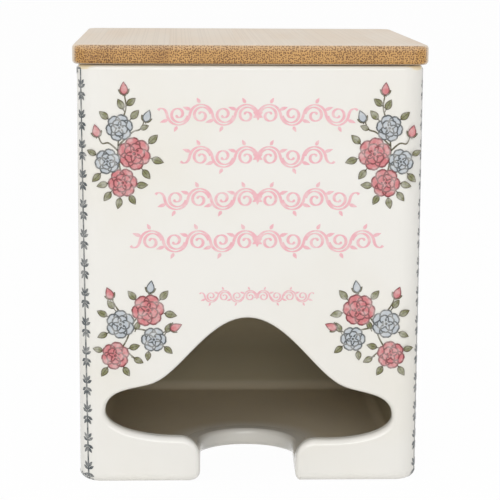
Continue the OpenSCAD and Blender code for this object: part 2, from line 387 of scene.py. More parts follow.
def cup(s):
    """The body before it is cut: up the outside, over the rim and down into the hollow."""
    size = BODY_HIGH - BODY_LOW
    steps = s.edge_steps

    def ring(grow, corner, z):
        return level(rounded_rect(size.x + 2 * grow, size.y + 2 * grow, corner, 2 * steps), z)

    def outside(run, z):
        return ring(-run, s.corner - run, z)

    def inside(run, z):
        return ring(run - s.wall, s.hollow_corner + run, z)

    rings = [outside(run, rise) for run, rise in quarter_round(s.base, steps)]
    rings += [outside(run, size.z - rise) for run, rise in reversed(quarter_round(s.rim_outside, steps))]
    rings += [inside(run, size.z - rise) for run, rise in quarter_round(s.rim_inside, steps)]
    rings += [inside(-run, s.floor + rise) for run, rise in reversed(quarter_round(s.floor_fillet, steps))]
    return loft(rings)


def opening_cutter(s):
    """Cutter for the front wall, flared at the wall's inside and outside face.

    The flare is smaller above the shoulders. On the inside it fades out from the sill down to the floor,
    where the notch runs on.
    """
    outline = opening_outline(s)
    outwards = grown(outline, 1)
    front, back = BODY_LOW.y, BODY_LOW.y + s.wall

    def ring(face, inwards, run, rise, fades):
        places = []
        for p, q in zip(outline, outwards):
            up = max(0, min(1, (p.y - s.slot_end) / (s.shoulder_z - s.slot_end)))
            radius = s.lip + (s.upper_lip - s.lip) * up
            kept = max(0, min(1, (p.y - s.floor) / (s.sill - s.floor))) if fades else 1
            moved = p + (q - p) * radius * rise * kept
            places.append((moved.x, face + inwards * radius * run, moved.y))
        return places

    steps = quarter_round(1, s.edge_steps)
    rings = [ring(back + CUT_PAST, 0, 0, 1, True)]
    rings += [ring(back + SKIM, -1, run, rise, True) for run, rise in reversed(steps)]
    rings += [ring(front - SKIM, 1, run, rise, False) for run, rise in steps]
    rings += [ring(front - CUT_PAST, 0, 0, 1, False)]
    return loft(rings)


def notch_cutter(s):
    """Cutter for the floor's notch, flared at the underside and, behind the wall, at the floor's top."""
    outline = notch_outline(s)
    middle, back = BODY_LOW.y + s.wall / 2, BODY_LOW.y + s.wall

    def ring(grow, z, front):
        return [(p.x, max(p.y, front), z) for p in grown(outline, grow)]

    rings = [ring(s.base, -CUT_PAST, middle)]
    rings += [ring(run, rise - SKIM, middle) for run, rise in quarter_round(s.base, s.edge_steps)]
    for run, rise in reversed(quarter_round(s.floor_lip, s.edge_steps)):
        rings.append(ring(run, s.floor + SKIM - rise, back))
    rings += [ring(s.floor_lip, s.floor + CUT_PAST, back)]
    return loft(rings)


def recess_cutters(s):
    """The recess under the floor, and the band round the notch that is kept out of it."""
    size = BODY_HIGH - BODY_LOW
    w, d = size.x - 2 * s.foot_band, size.y - 2 * s.foot_band
    field = rounded_rect(w, d, s.hollow_corner, s.edge_steps)
    band = grown(notch_outline(s), s.foot_band)
    return (
        loft([level(field, z) for z in (-CUT_PAST, s.foot_recess)]),
        loft([level(band, z) for z in (-2 * CUT_PAST, 2 * s.foot_recess)]),
    )


class ORGANIZER_OT_body(bpy.types.Operator):
    """Cast the ceramic body, cut its opening and notch, and glaze it"""

    bl_idname = "organizer.body"
    bl_label = "Glazed body"

    def execute(self, context):
        s = context.scene.organizer_body
        material = glaze_material(s, context.scene.organizer_glaze)

        def solid(bm):
            return finished(bm, "cutter", None, material)

        body = finished(cup(s), "glazed_body", "box", material)
        field, band = recess_cutters(s)
        recess = solid(field)
        carve(recess, solid(band))
        for cutter in (recess, solid(opening_cutter(s)), solid(notch_cutter(s))):
            carve(body, cutter)
        tidy_mesh(body)
        soften(body, CERAMIC_SHARP)
        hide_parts("ceramic_body")
        return {"FINISHED"}


def tidy_mesh(piece):
    """Merge what lies in one place after the cuts and point the faces outwards."""
    bm = bmesh.new()
    bm.from_mesh(piece.data)
    bmesh.ops.remove_doubles(bm, verts=bm.verts, dist=MERGE)
    bmesh.ops.dissolve_degenerate(bm, edges=bm.edges, dist=MERGE)
    bmesh.ops.recalc_face_normals(bm, faces=bm.faces)
    bm.to_mesh(piece.data)
    bm.free()


# ---- painted decor


class Painting:
    """Flat painted shapes in millimetres, in u to the right and v upwards, that get a little relief."""

    def __init__(self):
        self.bm = bmesh.new()
        self.paint = self.bm.loops.layers.float_color.new("paint")

    def fill(self, verts, colour):
        for corner in self.bm.faces.new(verts).loops:
            corner[self.paint] = (*colour, 1)

    def face(self, places, colour, coat):
        """One flat shape. A higher coat lies over a lower one."""
        self.fill([self.bm.verts.new((*p, coat * COAT)) for p in places], colour)

    def stroke(self, places, width, colour, coat):
        """A brush stroke along places, with width(t) its width from its start, 0, to its end, 1."""
        last = len(places) - 1
        pairs = []
        for i, p in enumerate(places):
            along = (places[min(i + 1, last)] - places[max(i - 1, 0)]).normalized()
            across = along.orthogonal() * width(i / last) / 2
            pairs.append([self.bm.verts.new((*q, coat * COAT)) for q in (p + across, p - across)])
        for (a, b), (c, d) in zip(pairs, pairs[1:]):
            self.fill((a, b, d, c), colour)

    def outlined(self, outline, fill, width, line, coat):
        """A flat shape with its outline drawn one coat above it."""
        self.face(outline, fill, coat)
        self.stroke(outline + outline[:1], lambda t: width, line, coat + 1)

    def pen(self, places, nib, colour, coat):
        """A broad pen's stroke: fine where it runs sideways and broad where it runs up or down."""
        thin, swell = 0.26 * nib, 0.5 * nib
        ways = [(b - a).normalized() for a, b in zip(places, places[1:])]
        ways.append(ways[-1])
        last = len(places) - 1
        self.stroke(places, lambda t: thin + swell * abs(ways[round(t * last)].y), colour, coat)

    def laid_on(self, name, place, relief, material):
        """Give the shapes their relief and lay them on the glaze, where place(u, v, lift) says."""
        self.bm.normal_update()
        down = [f for f in self.bm.faces if f.normal.z < 0]
        bmesh.ops.reverse_faces(self.bm, faces=down)
        bmesh.ops.solidify(self.bm, geom=self.bm.faces, thickness=-PAINT_BODY)
        for v in self.bm.verts:
            v.co = place(v.co.x * MM, v.co.y * MM, v.co.z * MM + relief)
        bmesh.ops.recalc_face_normals(self.bm, faces=self.bm.faces)
        return finished(self.bm, name, "box", material)


def on_front(u, v, lift):
    """Place on the front face, lifted off it."""
    return Vector((u, BODY_LOW.y - lift, v))


def tapered(wide, thin=0.25, lean=1.0):
    """Width of a stroke that swells towards its middle."""
    return lambda t: wide * (thin + (1 - thin) * math.sin(math.pi * t**lean))


def bent(start, heading, reach, bend, end_bend, steps=24):
    """Path of a steadily changing bend: angles in degrees, bends in degrees of turn per millimetre."""
    places = [Vector(start)]
    step = reach / steps
    for i in range(steps):
        heading += (bend + (end_bend - bend) * (i + 0.5) / steps) * step
        places.append(places[-1] + towards(heading, step))
    return places


def leaf_outline(foot, heading, reach, width, steps=8, fullness=0.8):
    """Outline of a pointed leaf, from its foot round its tip and back."""
    along = towards(heading)
    spine = []
    for i in range(steps + 1):
        half = width / 2 * math.sin(math.pi * (i / steps) ** fullness)
        spine.append((Vector(foot) + reach * i / steps * along, half * along.orthogonal()))
    return [p - half for p, half in spine] + [p + half for p, half in spine[-2:0:-1]]


def painted_leaf(painting, d, foot, heading, reach=3.0, width=1.7):
    """A leaf of the sprays: filled, outlined and with a midrib that runs back into its stalk."""
    painting.outlined(leaf_outline(foot, heading, reach, width), d.leaf, LEAF_LINE, d.stem, 1)
    rib = [Vector(foot) + towards(heading, reach * t) for t in (-0.3, 0.0, 0.4, 0.8)]
    painting.stroke(rib, lambda t: 0.28 * (1 - 0.5 * t), d.stem, 2)


def petal(painting, centre, heading, reach, width, fill, line, coat):
    """A rounded petal with a notched outer edge, filled and outlined."""
    along = towards(heading)
    outline = []
    steps = 14
    for i in range(steps + 1):
        a = math.radians(300 * i / steps - 150)
        dent = 1 - 0.12 * math.exp(-((a / 0.35) ** 2))
        out = reach * (0.52 + 0.48 * math.cos(a) * dent)
        outline.append(Vector(centre) + out * along + width / 2 * math.sin(a) * along.orthogonal())
    painting.face(outline, fill, coat)
    painting.stroke(outline, tapered(PETAL_LINE, 0.6), line, coat + 1)


def blossom(painting, centre, size, turn, fill, line):
    """An open blossom: two rings of petals, each a little over the one before, and a heart of dots."""
    coat = 3
    for ring, (count, reach, width) in enumerate(((6, 0.5, 0.44), (5, 0.32, 0.3))):
        for k in range(count):
            heading = turn + 360 / count * (k + 0.5 * ring)
            petal(painting, centre, heading, reach * size, width * size, fill, line, coat)
            coat += 0.3
    for k in range(6):
        heading = turn + 60 * k
        spot = Vector(centre) + towards(heading, 0.085 * size)
        painting.face(leaf_outline(spot, heading, 0.09 * size, 0.07 * size, 4, 1.0), line, coat + 2)
    painting.face(disc(centre, 0.055 * size, 10), line, coat + 2)


def bud(painting, d, foot, heading, fill, line, reach=3.2):
    """A closed bud on its stalk's end, held by two small leaves."""
    painting.outlined(leaf_outline(foot, heading, reach, 1.9, 10, 0.7), fill, BUD_LINE, line, 3)
    for side in (-1, 1):
        painted_leaf(painting, d, foot, heading + 48 * side, 1.9, 0.9)


def through(points, steps=8):
    """A smooth path through a few points."""
    ends = [2 * points[0] - points[1], *points, 2 * points[-1] - points[-2]]
    places = []
    for before, a, b, after in zip(ends, ends[1:], ends[2:], ends[3:]):
        pull = (b - before) / 6, (after - a) / 6
        places += curve(a, a + pull[0], b - pull[1], b, steps)
    return places + [points[-1]]


def spray(painting, d, place, turned, stems, blooms, leaves, buds):
    """One corner spray. place moves a point of the drawing and turned a heading; the rest are its parts."""
    for stem in stems:
        path = through([place(p) for p in stem])
        painting.stroke(path, lambda t: 0.46 - 0.14 * t, d.stem, 0)
    for foot, heading, reach in leaves:
        painted_leaf(painting, d, place(foot), turned(heading), reach, 0.56 * reach)
    colours = {True: (d.pink, d.rose), False: (d.ice, d.steel)}
    for foot, heading, pink in buds:
        bud(painting, d, place(foot), turned(heading), *colours[pink])
    for centre, size, turn, pink in blooms:
        blossom(painting, place(centre), size, turned(turn), *colours[pink])


# Parts of the upper and the lower spray on the left, in millimetres from the middle of the front's foot.
# stems: points of their path; blooms: centre, size, turn, pink; leaves: foot, heading, length; buds: foot,
# heading, pink
UPPER_SPRAY = {
    "stems": (
        ((-33.2, 81.0), (-34.3, 88.0), (-33.6, 95.0), (-32.2, 99.6), (-32.6, 103.4)),
        ((-34.2, 88.6), (-36.6, 90.6), (-38.4, 90.6), (-39.4, 92.6)),
        ((-34.2, 90.0), (-30.6, 93.4), (-28.6, 94.2), (-27.4, 96.4)),
        ((-33.2, 81.0), (-31.9, 78.4), (-31.3, 76.9)),
    ),
    "blooms": (
        ((-33.9, 94.6), 7.0, 12, False),
        ((-30.1, 87.9), 8.6, 40, True),
        ((-37.0, 85.9), 6.6, 75, False),
        ((-33.1, 80.3), 7.6, 5, True),
    ),
    "leaves": (
        ((-36.8, 96.9), 140, 2.9), ((-30.9, 96.9), 48, 3.0), ((-32.9, 99.4), 118, 2.9),
        ((-31.9, 100.4), 40, 2.8), ((-26.3, 90.6), 44, 3.1), ((-25.6, 86.6), -18, 3.2),
        ((-27.9, 83.7), -52, 3.0), ((-28.5, 94.3), 22, 2.3), ((-40.0, 87.6), 150, 2.5),
        ((-38.9, 82.7), 226, 2.9), ((-37.0, 80.2), 196, 2.9), ((-29.6, 79.6), 4, 3.0),
        ((-33.8, 76.4), 258, 2.9), ((-36.2, 77.9), 232, 2.9), ((-31.3, 77.1), 300, 2.8),
    ),
    "buds": (((-32.6, 103.2), 94, True), ((-39.5, 92.3), 104, True), ((-27.3, 96.2), 68, False)),
}
LOWER_SPRAY = {
    "stems": (
        ((-35.0, 34.6), (-32.4, 38.6), (-30.4, 43.6), (-27.4, 47.2), (-26.2, 51.6)),
        ((-30.8, 42.0), (-27.6, 41.4), (-24.4, 40.4), (-20.6, 41.6)),
        ((-31.4, 44.0), (-34.6, 47.0), (-36.2, 50.0)),
        ((-33.6, 37.0), (-30.6, 34.2), (-28.8, 33.2)),
    ),
    "blooms": (
        ((-33.9, 43.0), 7.6, 30, False),
        ((-26.7, 46.7), 8.6, 8, True),
        ((-25.2, 38.9), 6.6, 60, False),
        ((-35.3, 34.6), 7.4, 20, True),
    ),
    "leaves": (
        ((-29.9, 49.6), 132, 3.0), ((-23.5, 49.6), 48, 3.1), ((-22.3, 45.9), -12, 3.2),
        ((-37.4, 45.2), 152, 2.9), ((-35.6, 47.2), 128, 2.7), ((-37.4, 40.6), 204, 2.7),
        ((-29.9, 41.6), 68, 2.4), ((-22.0, 40.8), 62, 2.8), ((-26.6, 35.7), -96, 2.5),
        ((-31.6, 36.6), 14, 2.8), ((-38.6, 35.9), 164, 2.6), ((-37.4, 31.4), 236, 2.8),
        ((-33.1, 31.5), -58, 2.8), ((-22.4, 36.9), -40, 2.7), ((-30.4, 33.9), -28, 2.7),
    ),
    "buds": (((-26.2, 51.4), 82, False), ((-36.2, 49.8), 112, True), ((-20.8, 41.6), 24, True)),
}
# Middle of the sprays and of the scrolls, to the right of the body's middle, in millimetres
DECOR_MIDDLE, SCROLL_MIDDLE = 1.0, 1.8


class ORGANIZER_OT_sprays(bpy.types.Operator):
    """Paint a flower spray in each corner of the front"""

    bl_idname = "organizer.sprays"
    bl_label = "Flower sprays"

    def execute(self, context):
        d = context.scene.organizer_decor
        material = paint_material(context.scene.organizer_glaze)
        for row, parts in (("upper", UPPER_SPRAY), ("lower", LOWER_SPRAY)):
            for side, name in ((1, "left"), (-1, "right")):
                painting = Painting()

                def place(p):
                    return Vector((DECOR_MIDDLE + side * (p[0] - DECOR_MIDDLE), p[1]))

                def turned(heading):
                    return heading if side > 0 else 180 - heading

                spray(painting, d, place, turned, **parts)
                painting.laid_on(f"{row}_{name}_spray", on_front, d.relief, material)
        return {"FINISHED"}


# A volute: its steps, its first direction and its turn in degrees, and how its radius shrinks
VOLUTE_STEPS = 44
VOLUTE_START, VOLUTE_TURN = 170, 480
VOLUTE_RADIUS, VOLUTE_SHRINK = 0.86, 0.62


def scroll_row(painting, colour, middle, half, count):
    """A running scroll, mirrored in the middle: a stem that weaves round a row of volutes, with leaves."""
    pitch = half / (count + 0.4)
    size = pitch / 6
    lap = 0.5 * pitch
    for side in (-1, 1):

        def place(p):
            return Vector((middle[0] + side * p[0], middle[1] + p[1]))

        stem = []
        for k in range(count):
            up = 1 if k % 2 == 0 else -1
            start, peak = k * pitch, up * 1.2 * lap
            rise, fall = (start + 0.22 * lap, peak), (start + 1.78 * lap, peak)
            stem += curve((start, 0), rise, fall, (start + pitch, 0), 20)
            centre = Vector(((k + 0.5) * pitch, -0.05 * up * lap))
            volute = []
            for i in range(VOLUTE_STEPS + 1):
                t = i / VOLUTE_STEPS
                reach = lap * (VOLUTE_RADIUS - VOLUTE_SHRINK * t**0.8)
                volute.append(place(centre + towards(up * (VOLUTE_START - VOLUTE_TURN * t), reach)))
            painting.pen(volute, size, colour, 1)
            painting.face(disc(volute[-1], 0.34 * size, 12), colour, 2)
            for way, height, lean, reach in ((0.55, 1.02, 60, 1.7), (0.95, 0.45, 18, 2.3)):
                foot = (start + way * pitch, up * height * lap)
                leaf = leaf_outline(foot, up * lean, reach * size, 0.9 * size, 8, 0.7)
                painting.face([place(p) for p in leaf], colour, 0.4 * way)
        stem += bent((count * pitch, 0), -80 * up, 3.4 * size, up * 10 / size, up * 70 / size, 16)
        painting.pen([place(p) for p in stem], size, colour, 0)
    for k in range(6):
        drop = leaf_outline(middle, 30 + 60 * k, 1.5 * size, 0.85 * size, 6, 0.7)
        painting.face(drop, colour, 2 + 0.2 * k)


# Rows of the scroll ornament, in millimetres: height of the row's middle, half its width and the number of
# its volutes on each side
SCROLL_ROWS = (
    (98.0, 25.8, 4),
    (87.1, 20.0, 3),
    (76.1, 26.5, 4),
    (65.0, 33.0, 5),
    (50.4, 15.0, 4),
)


class ORGANIZER_OT_scrolls(bpy.types.Operator):
    """Paint rows of a plain symmetrical scroll ornament on the front"""

    bl_idname = "organizer.scrolls"
    bl_label = "Scroll ornament"

    def execute(self, context):
        d = context.scene.organizer_decor
        material = paint_material(context.scene.organizer_glaze)
        for number, (z, half, count) in enumerate(SCROLL_ROWS, 1):
            painting = Painting()
            scroll_row(painting, d.scroll, Vector((SCROLL_MIDDLE, z)), half, count)
            painting.laid_on(f"scroll_row_{number}", on_front, d.relief, material)
        return {"FINISHED"}


def border_place(side, s):
    """Where the border of one side face lies: u runs forwards from the side's middle, round its corner.

    Near the foot and the rim it follows the rounding of the edge.
    """
    flat = BODY_HIGH.x - s.corner

    def inset(r, past):
        past = min(r, max(0, past))
        return r - math.sqrt(r**2 - past**2)

    def place(u, v, lift):
        rim_inset = inset(s.rim_outside, v - (BODY_HIGH.z - s.rim_outside))
        arm = s.corner + lift - inset(s.base, s.base - v) - rim_inset
        a = max(0, abs(u) - flat) / s.corner
        y = min(flat, abs(u)) + arm * math.sin(a)
        return Vector((side * (flat + arm * math.cos(a)), -math.copysign(y, u), v))

    return place


# Distance of the border's uprights from the middle of each side face, at the rim and at the foot, in
# millimetres, and the steps in its stem from one pair of whorls to the next
BORDER_REACH = {"left": (42.8, 44.6), "right": (40.2, 41.6)}
STEM_STEPS = 8


class ORGANIZER_OT_border(bpy.types.Operator):
    """Paint the leafy border that frames each side face and shows at the front corners"""

    bl_idname = "organizer.border"
    bl_label = "Leafy border"

    def execute(self, context):
        d = context.scene.organizer_decor
        material = paint_material(context.scene.organizer_glaze)
        low = d.stem_inset / MM
        high = BODY_HIGH.z / MM - low
        pitch, first = d.whorl_pitch / MM, d.first_whorl / MM
        width = d.stem_width / MM
        for side, name in ((-1, "left"), (1, "right")):
            painting = Painting()
            top, foot = BORDER_REACH[name]
            corners = [Vector(p) for p in ((foot, low), (top, high), (-top, high), (-foot, low))]
            for start, end in zip(corners, corners[1:] + corners[:1]):
                run = end - start
                count = round(run.length / pitch)
                last = STEM_STEPS * count
                steps = [start.lerp(end, i / last) for i in range(last + 1)]
                painting.stroke(steps, lambda t: width, d.slate, 0)
                upright = abs(run.y) > abs(run.x)
                for k in range(count):
                    way = (first + k * pitch - start.y) / run.y if upright else (k + 0.5) / count
                    sides = (-1, 1) if upright else (1,)
                    leafed(painting, d.slate, start.lerp(end, way), run.normalized(), sides)
            lie = border_place(side, context.scene.organizer_body)
            painting.laid_on(f"{name}_border", lie, d.relief, material)
        return {"FINISHED"}


def leafed(painting, colour, middle, along, sides):
    """A pair of leaf whorls about a place on a stem, on its right, -1, its left, 1, or both sides."""
    for number, (lean, reach, start) in enumerate(((57, 1.95, 0.45), (36, 2.05, 1.05))):
        for way in (-1, 1):
            foot = middle + along * way * start
            for side in sides:
                aim = Matrix.Rotation(math.radians(side * way * lean), 2) @ (along * way)
                heading = math.degrees(math.atan2(aim.y, aim.x))
                painting.face(leaf_outline(foot, heading, reach, 0.8, 8, 1.2), colour, 1 + 0.3 * number)


# ---- the bamboo lid


def lid_board(s):
    """The whole lid board before it is parted into strips."""
    size = LID_LAST - LID_LOW
    bm = bmesh.new()
    block = Matrix.LocRotScale((LID_LOW + LID_LAST) / 2, None, size)
    bmesh.ops.create_cube(bm, size=1, matrix=block)
    upright = [e for e in bm.edges if abs(e.verts[0].co.z - e.verts[1].co.z) > size.z / 2]
    bevel(bm, upright, s.corner, 12)
    flats = [f for f in bm.faces if abs(f.normal.z) > LEVEL_FACE]
    bevel(bm, [e for f in flats for e in f.edges], s.ease, 5)
    return bm


def parted(board, left, right, seam):
    """The strip of a board between two glue seams, with a hair-fine chamfer along each seam."""
    strip = board.copy()
    for place, outwards in ((left, -1), (right, 1)):
        if place is None:
            continue
        geom = strip.verts[:] + strip.edges[:] + strip.faces[:]
        bmesh.ops.bisect_plane(
            strip, geom=geom, dist=TOUCH, plane_co=(place, 0, 0), plane_no=(outwards, 0, 0),
            clear_outer=True
        )
        cut = [e for e in strip.edges if e.is_boundary]
        cap = bmesh.ops.holes_fill(strip, edges=cut, sides=0)["faces"]
        bevel(strip, [e for f in cap for e in f.edges], seam, 1)
    bmesh.ops.recalc_face_normals(strip, faces=strip.faces)
    return strip


class ORGANIZER_OT_lid(bpy.types.Operator):
    """Glue up the lid board from bamboo strips and finish the board and the seal under it"""

    bl_idname = "organizer.lid"
    bl_label = "Bamboo lid"

    def execute(self, context):
        s = context.scene.organizer_lid
        lengthwise = bamboo_material("bamboo_board", s, 0, LID_SEAM, STRIP_WIDTH)
        crosswise = bamboo_material("bamboo_locating_board", s, 90, PLUG_SEAM, STRIP_WIDTH)
        board = lid_board(s)
        seams = [None] + [LID_SEAM + (k - 2) * STRIP_WIDTH for k in range(LID_STRIPS - 1)] + [None]
        for number in range(1, LID_STRIPS + 1):
            strip = parted(board, seams[number - 1], seams[number], s.seam)
            piece = finished(strip, f"bamboo_lid_strip_{number}", "lid", lengthwise)
            soften(piece, BAMBOO_SHARP)
            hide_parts(f"lid_strip_{number}")
        board.free()
        for number in range(1, PLUG_STRIPS + 1):
            dress(f"plug_strip_{number}", crosswise)
        dress("seal_ring", silicone_material(s))
        return {"FINISHED"}


def dress(node, material):
    """Give a CAD node a material, with its shape as it is."""
    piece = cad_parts[node]
    piece.data.materials.clear()
    piece.data.materials.append(material)


# ---- materials


class Nodes:
    """Adds nodes to one tree. Inputs are sockets or plain values, and what comes back is an output."""

    def __init__(self, tree):
        self.tree = tree

    def add(self, kind, inputs=None, out=0, **settings):
        node = self.tree.nodes.new(kind)
        for name, value in settings.items():
            setattr(node, name, value)
        self.feed(node, inputs or {})
        return node.outputs[out]

    def feed(self, node, inputs):
        """Link or set inputs of a node."""
        for key, value in inputs.items():
            if isinstance(value, bpy.types.NodeSocket):
                self.tree.links.new(value, node.inputs[key])
            else:
                node.inputs[key].default_value = value

    def place(self):
        """The place on the piece."""
        return self.add("ShaderNodeTexCoord", out="Object")

    def math(self, operation, a, b=0.0, c=0.0, clamp=False):
        return self.add("ShaderNodeMath", {0: a, 1: b, 2: c}, operation=operation, use_clamp=clamp)

    def times(self, a, b):
        return self.math("MULTIPLY", a, b)

    def mix(self, factor, a, b):
        a, b = (v if isinstance(v, bpy.types.NodeSocket) else (*v, 1) for v in (a, b))
        return self.add("ShaderNodeMix", {0: factor, 6: a, 7: b}, out=2, data_type="RGBA")

    def fade(self, value, start, end):
        """0 at start and 1 at end, with soft ends."""
        inputs = {"Value": value, "From Min": start, "From Max": end}
        return self.add("ShaderNodeMapRange", inputs, interpolation_type="SMOOTHSTEP")

    def noise(self, vector, scale, detail=2.0, roughness=0.5):
        inputs = {"Vector": vector, "Scale": scale, "Detail": detail, "Roughness": roughness}
        return self.add("ShaderNodeTexNoise", inputs)

    def split(self, vector):
        return self.add("ShaderNodeSeparateXYZ", {0: vector}).node.outputs

    def join(self, x, y, z):
        return self.add("ShaderNodeCombineXYZ", {0: x, 1: y, 2: z})

    def bump(self, height, strength, distance):
        return self.add("ShaderNodeBump", {"Height": height, "Strength": strength, "Distance": distance})

    def effect(self, build, **inputs):
        """The outputs of a node group that is shared: build(nodes, given) makes them from its inputs."""
        tree = bpy.data.node_groups.get(build.__name__)
        if not tree:
            tree = bpy.data.node_groups.new(build.__name__, "ShaderNodeTree")
            for label in inputs:
                kind = "NodeSocketVector" if label == "Vector" else "NodeSocketFloat"
                tree.interface.new_socket(name=label, in_out="INPUT", socket_type=kind)
            made = build(Nodes(tree), tree.nodes.new("NodeGroupInput").outputs)
            for label in made:
                tree.interface.new_socket(name=label, in_out="OUTPUT", socket_type="NodeSocketFloat")
            out = tree.nodes.new("NodeGroupOutput")
            for label, value in made.items():
                tree.links.new(value, out.inputs[label])
        return self.add("ShaderNodeGroup", inputs, node_tree=tree).node.outputs


def new_material(name):
    """A material with its node maker and its shader."""
    material = bpy.data.materials.new(name)
    material.use_nodes = True
    return material, Nodes(material.node_tree), material.node_tree.nodes["Principled BSDF"]


# Scales of the glaze's noise: slow waves, fine orange peel, clouds where it lies thin, and worn paint
WAVES, PEEL, CLOUDS, WORN = 60, 900, 22, 700
# How strongly and how high the waves stand, for the glaze and for the paint on it
WAVE_STRENGTH, WAVE_HEIGHT = 0.35, 0.12 * MM


def glaze_surface(nodes, given):
    """The glaze's surface: slow waves from the casting and a fine orange peel."""
    place = given["Vector"]
    waves = nodes.noise(place, WAVES, 1)
    peel = nodes.noise(place, PEEL, 2)
    return {
        "Height": nodes.math("MULTIPLY_ADD", peel, 0.06, waves),
        "Cloud": nodes.noise(place, CLOUDS, 3),
    }


def set_glaze(nodes, shader, surface, colour, rough):
    """Give a shader the glaze's gloss and waves."""
    waves = nodes.bump(surface["Height"], WAVE_STRENGTH, WAVE_HEIGHT)
    nodes.feed(shader, {"Base Color": colour, "Roughness": rough, "IOR": 1.5, "Normal": waves})


def glaze_material(s, finish):
    """Cream gloss glaze outside, a warm matt taupe in the hollow with painted shade low on its walls and
    painted light on its floor, and a bare foot.
    """
    material, nodes, shader = new_material("cream_glaze")
    place = nodes.place()
    x, y, z = nodes.split(place)
    surface = nodes.effect(glaze_surface, Vector=place)
    # The hollow, from its floor up to the middle of the rim
    rim = nodes.fade(z, BODY_HIGH.z - 1.5 * MM, BODY_HIGH.z - 0.9 * MM)
    reach = nodes.math("MULTIPLY_ADD", rim, s.wall - 1.3 * MM, BODY_HIGH.x - s.wall)
    past = [nodes.math("SUBTRACT", nodes.math("ABSOLUTE", across), reach) for across in (x, y)]
    within = nodes.times(*(nodes.fade(far, 0.9 * MM, 0.3 * MM) for far in past))
    above = nodes.fade(z, s.floor - 1.2 * MM, s.floor - 0.2 * MM)
    # The floor round the notch, where the hollow's colours fade back to the cream
    beside = nodes.math("SUBTRACT", y, BODY_LOW.y + s.notch_depth - s.notch / 2)
    from_notch = nodes.join(x, nodes.math("MAXIMUM", beside, 0.0), 0.0)
    away = nodes.add("ShaderNodeVectorMath", {0: from_notch}, out="Value", operation="LENGTH")
    near_notch = nodes.fade(away, s.notch / 2 + 11 * MM, s.notch / 2 + 0.5 * MM)
    low = nodes.fade(z, s.floor + 5 * MM, s.floor + 0.5 * MM)
    open_part = nodes.times(near_notch, low)
    inside = nodes.times(nodes.times(within, above), nodes.math("SUBTRACT", 1.0, open_part))
    foot = nodes.fade(z, 0.5 * MM, 0.1 * MM)
    cream = nodes.mix(nodes.fade(surface["Cloud"], 0.42, 0.75), finish.cream, finish.thin)
    # Painted shade: the taupe darkens low on the hollow's walls, from 34 mm down to 16 mm
    taupe = nodes.mix(nodes.fade(z, 34 * MM, 16 * MM), finish.inside, finish.low_wall_shade)
    # Painted light: on the hollow's floor the taupe is lighter again than low on the walls
    taupe = nodes.mix(nodes.fade(z, s.floor + 3 * MM, s.floor), taupe, finish.hollow_floor_light)
    colour = nodes.mix(foot, nodes.mix(inside, cream, taupe), finish.bisque)
    rough = nodes.math("MULTIPLY_ADD", foot, 0.6, finish.gloss)
    rough = nodes.math("MULTIPLY_ADD", inside, 0.5, rough)
    set_glaze(nodes, shader, surface, colour, rough)
    return material


def paint_material(finish):
    """On-glaze paint: its colour comes from the drawing and its gloss and waves are the glaze's own."""
    name = "decor_paint"
    if name in bpy.data.materials:
        return bpy.data.materials[name]
    material, nodes, shader = new_material(name)
    place = nodes.place()
    surface = nodes.effect(glaze_surface, Vector=place)
    paint = nodes.add("ShaderNodeAttribute", attribute_name="paint", out="Color")
    thinned = nodes.times(nodes.fade(nodes.noise(place, WORN, 3), 0.35, 0.8), 0.4)
    rough = nodes.math("MULTIPLY_ADD", surface["Cloud"], 0.08, finish.gloss)
    set_glaze(nodes, shader, surface, nodes.mix(thinned, paint, finish.cream), rough)
    return material


# Bamboo: fibre bundles to the metre and how unevenly they stand, and the scales of the noise that makes
# them thick or thin and of the noise that streaks the board
BUNDLES, BUNDLE_SCATTER = 1850.0, 0.7
THICKNESS, STREAKS = 240, 70


def bamboo_grain(nodes, given):
    """Bamboo: fibre bundles along Y that end in dots, in strips side by side along X."""
    x, y, z = nodes.split(given["Vector"])
    from_seam = nodes.math("SUBTRACT", x, given["Seam"])
    number = nodes.math("FLOOR", nodes.math("DIVIDE", from_seam, given["Strip"]))
    seed = nodes.math("ADD", number, 17.3)
    own = nodes.add("ShaderNodeTexWhiteNoise", {"W": seed}, noise_dimensions="1D")
    before_seam = nodes.math("MULTIPLY", number, -0.5, clamp=True)
    shifted_x = nodes.math("MULTIPLY_ADD", number, 0.37, x)
    shifted = nodes.join(shifted_x, nodes.times(z, 1.1), 0.0)
    cells = nodes.add(
        "ShaderNodeTexVoronoi", {"Vector": shifted, "Scale": BUNDLES, "Randomness": BUNDLE_SCATTER},
        out="Distance", voronoi_dimensions="2D"
    )
    size = nodes.math("MULTIPLY_ADD", nodes.noise(shifted, THICKNESS, 2), 0.26, 0.21)
    along = nodes.join(shifted_x, nodes.times(y, 0.25), z)
    return {
        "Bundles": nodes.fade(nodes.math("DIVIDE", cells, size), 1.25, 0.75),
        "Tone": nodes.math("MULTIPLY_ADD", own, 0.3, before_seam),
        "Figure": nodes.noise(along, STREAKS, 3),
    }


def toned(colour, *parts):
    """A colour with each of its parts scaled."""
    return tuple(c * part for c, part in zip(colour, parts))


